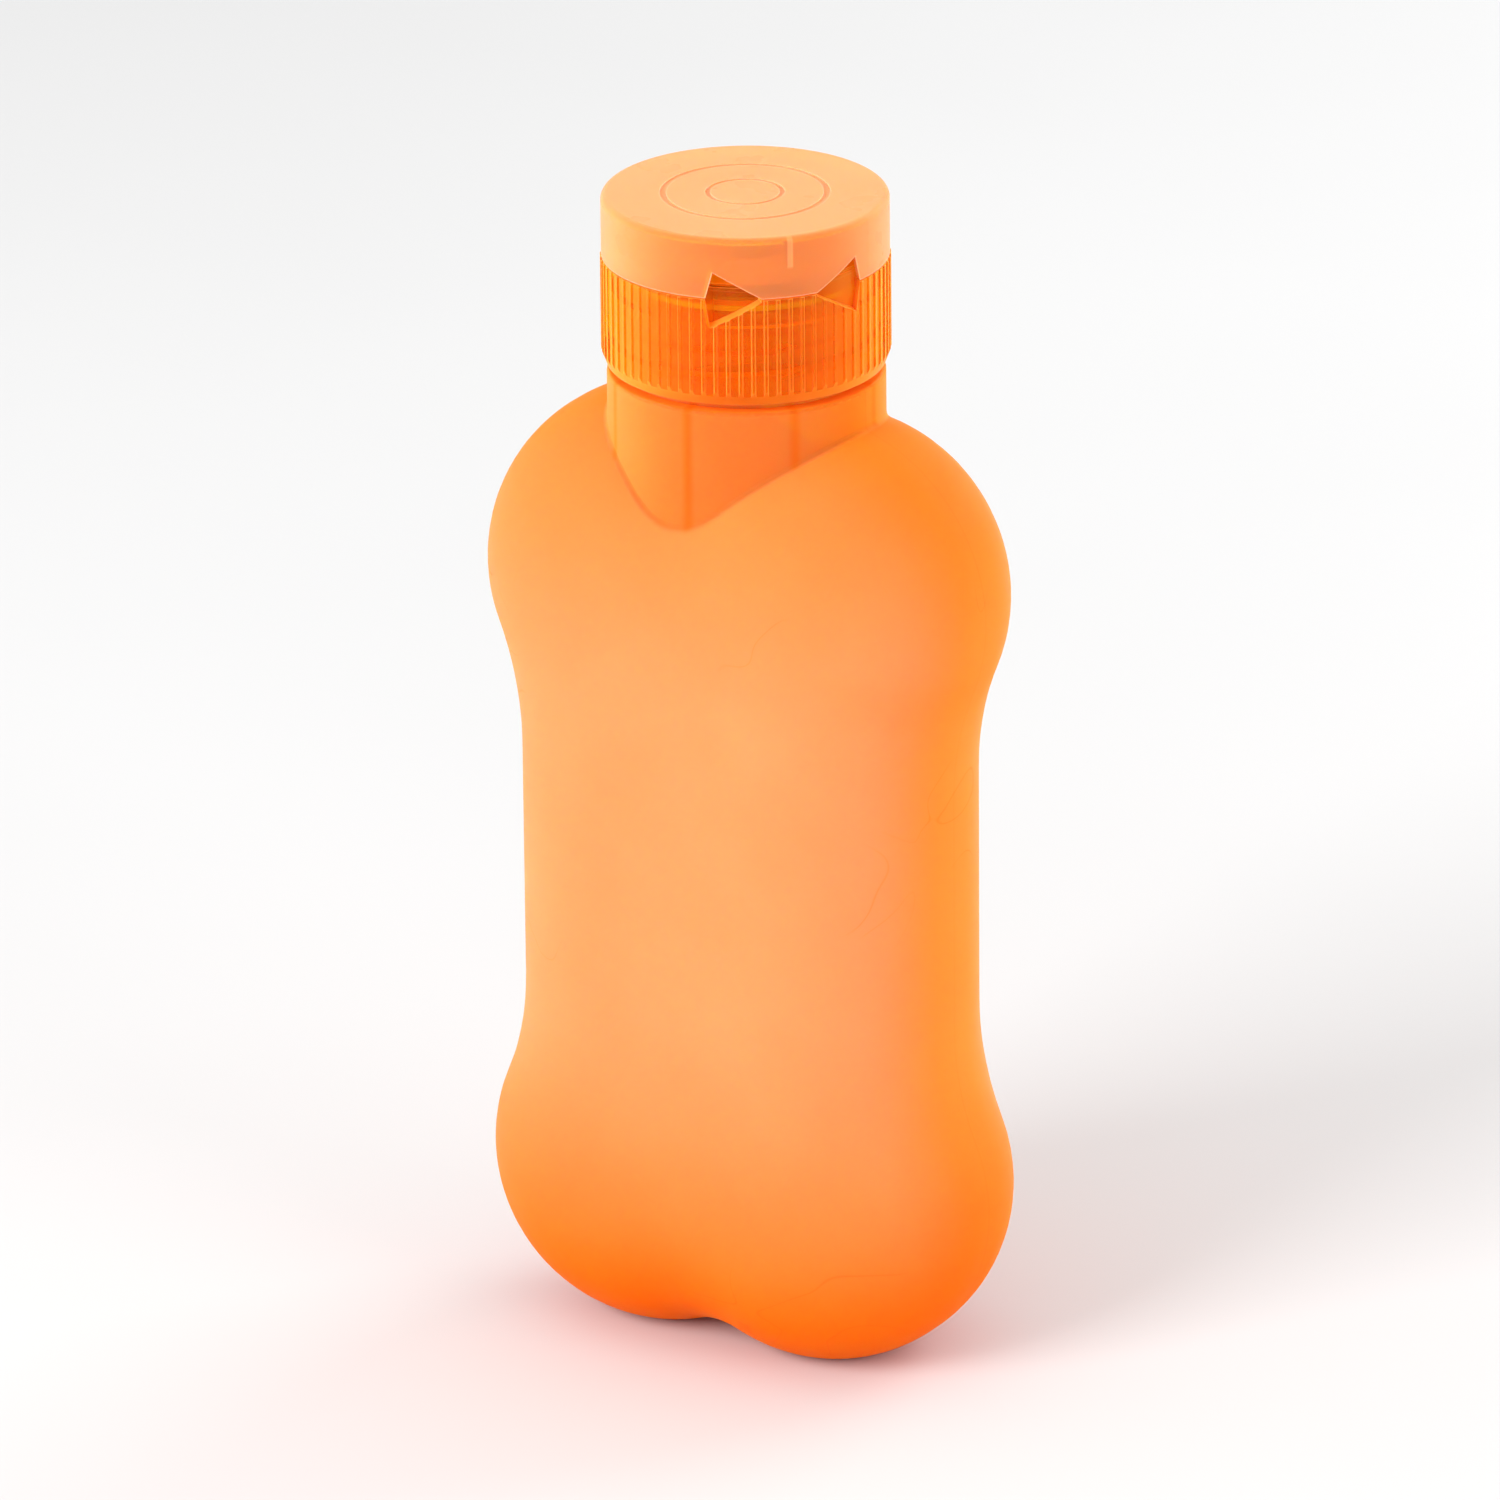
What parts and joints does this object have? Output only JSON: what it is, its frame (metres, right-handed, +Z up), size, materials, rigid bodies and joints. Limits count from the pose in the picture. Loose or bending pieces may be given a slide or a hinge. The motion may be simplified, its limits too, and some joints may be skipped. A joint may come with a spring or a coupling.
{
  "type": "sports squeeze bottle",
  "caption": "Bone-shaped translucent squeeze bottle with rounded lobes, a threaded neck and a ribbed screw cap with a hinged flip lid.",
  "frame": {"origin": "on the surface that the bottle stands on, below the middle of the body", "axes": "+Z up along the bottle, +X across the wide face, -Y the front face"},
  "size_m": [0.0794, 0.0464, 0.1728],
  "materials": {
    "bottle_plastic": "satin translucent orange",
    "cap_plastic": "translucent orange, semi-gloss",
    "lid_plastic": "translucent pale orange, semi-gloss",
    "liner_foam": "white foamed liner",
    "silicone": "translucent white silicone",
    "ring_plastic": "natural white plastic"
  },
  "bodies": {
    "bottle": {"bottle_body": "bottle_plastic"},
    "liner": {"neck_liner": "liner_foam"},
    "cap": {"cap_base": "cap_plastic", "squeeze_valve": "silicone", "valve_ring": "ring_plastic", "hinge_film_left": "cap_plastic", "hinge_film_right": "cap_plastic", "hinge_spring_strap": "cap_plastic"},
    "lid": {"flip_lid": "lid_plastic"}
  },
  "joints": [
    {"name": "cap_rise", "type": "slide", "parent": "bottle", "child": "liner", "axis": [0, 0, 1], "range_m": [0, 0.0142]},
    {"name": "cap_turn", "type": "hinge", "parent": "liner", "child": "cap", "pos_m": [0, 0, 0.155], "axis": [0, 0, 1], "range_deg": [0, 1200]},
    {"name": "lid_flip", "type": "hinge", "parent": "cap", "child": "lid", "pos_m": [-0.01609, 0.0135, 0.16382], "axis": [-0.6428, -0.766, 0], "range_deg": [0, 165], "deforming": ["hinge_film_left", "hinge_film_right", "hinge_spring_strap"]}
  ],
  "couplings": [
    {"joint": "cap_rise", "follows": "cap_turn", "m_per_rad": 0.0006737}
  ]
}
